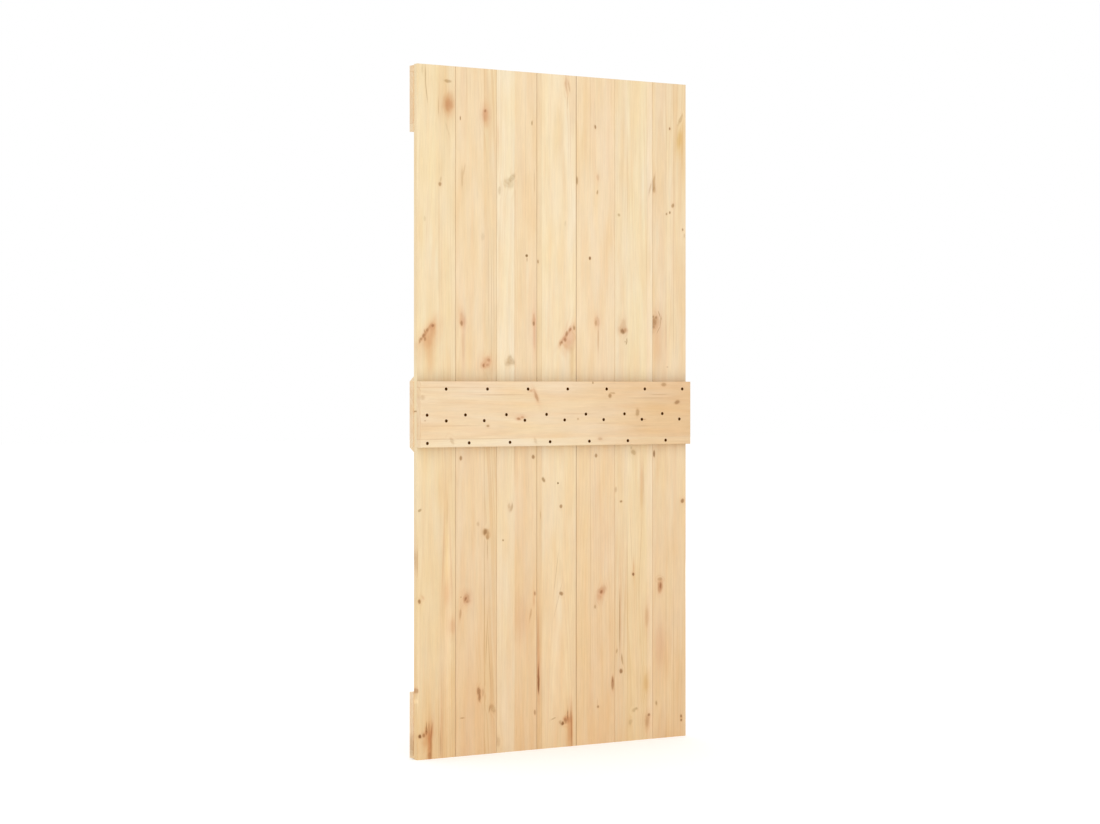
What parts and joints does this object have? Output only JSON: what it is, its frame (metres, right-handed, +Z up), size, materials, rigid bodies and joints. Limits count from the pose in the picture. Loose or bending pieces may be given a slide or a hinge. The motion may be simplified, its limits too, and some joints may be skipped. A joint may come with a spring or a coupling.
{
  "type": "sliding door leaf",
  "caption": "Solid pine sliding door leaf: upright tongued-and-grooved boards, a rail across the front, and rails with K braces on the back.",
  "frame": {"origin": "middle of the top rail's outer face, on the leaf's back, where the hangers are bolted", "axes": "+Z up along the boards, +X along the width to the right as seen from the front, +Y out of the back face"},
  "size_m": [1, 0.069, 2.1],
  "materials": {
    "board_pine": "planed, unfinished",
    "rail_pine": "planed, unfinished"
  },
  "bodies": {
    "root": {"board_1": "board_pine", "board_2": "board_pine", "board_3": "board_pine", "board_4": "board_pine", "board_5": "board_pine", "board_6": "board_pine", "board_7": "board_pine", "front_middle_rail": "rail_pine", "back_top_rail": "rail_pine", "back_middle_rail": "rail_pine", "back_bottom_rail": "rail_pine", "back_upper_brace": "rail_pine", "back_lower_brace": "rail_pine"}
  },
  "joints": []
}
